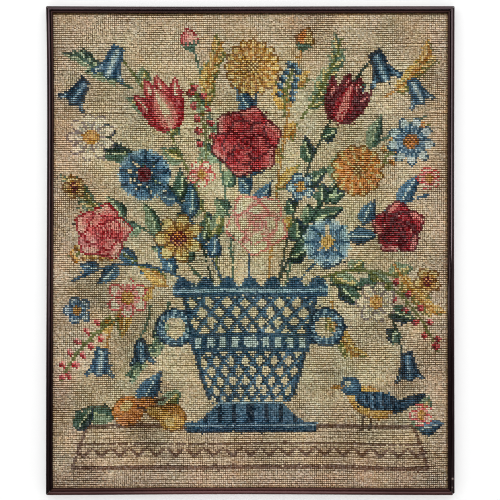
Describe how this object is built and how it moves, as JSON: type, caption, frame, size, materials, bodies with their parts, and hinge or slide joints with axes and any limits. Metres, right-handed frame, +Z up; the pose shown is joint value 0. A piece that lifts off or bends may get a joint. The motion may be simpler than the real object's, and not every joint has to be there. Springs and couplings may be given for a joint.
{
  "type": "needlepoint canvas panel in a narrow wooden picture frame",
  "caption": "Wool needlepoint canvas panel worked with flowers in a vessel, stretched in a narrow dark wooden frame that hangs flat on a wall.",
  "frame": {"origin": "on the flat back of the frame, at the middle of the top rail, where a wall holds it", "axes": "+Z up, +Y into the wall behind the frame, +X to the right of someone facing the worked side, which looks along -Y"},
  "size_m": [0.6292, 0.02, 0.753],
  "materials": {
    "needlepoint_cloth": "matt wool cross stitch in tan, blue, red, gold and green, worn and a little faded, with dark canvas holes between the stitches",
    "frame_top": "very dark red-brown polished wood, its bead worn lighter along the crown",
    "frame_bottom": "very dark red-brown polished wood, its bead worn lighter and redder along the crown",
    "frame_left": "very dark red-brown polished wood, its bead worn lighter along the crown",
    "frame_right": "very dark red-brown polished wood, its bead worn lighter along the crown, with a few pale nicks near the foot"
  },
  "bodies": {
    "root": {"needlepoint_cloth": "needlepoint_cloth", "frame_top": "frame_top", "frame_bottom": "frame_bottom", "frame_left": "frame_left", "frame_right": "frame_right"}
  },
  "joints": []
}
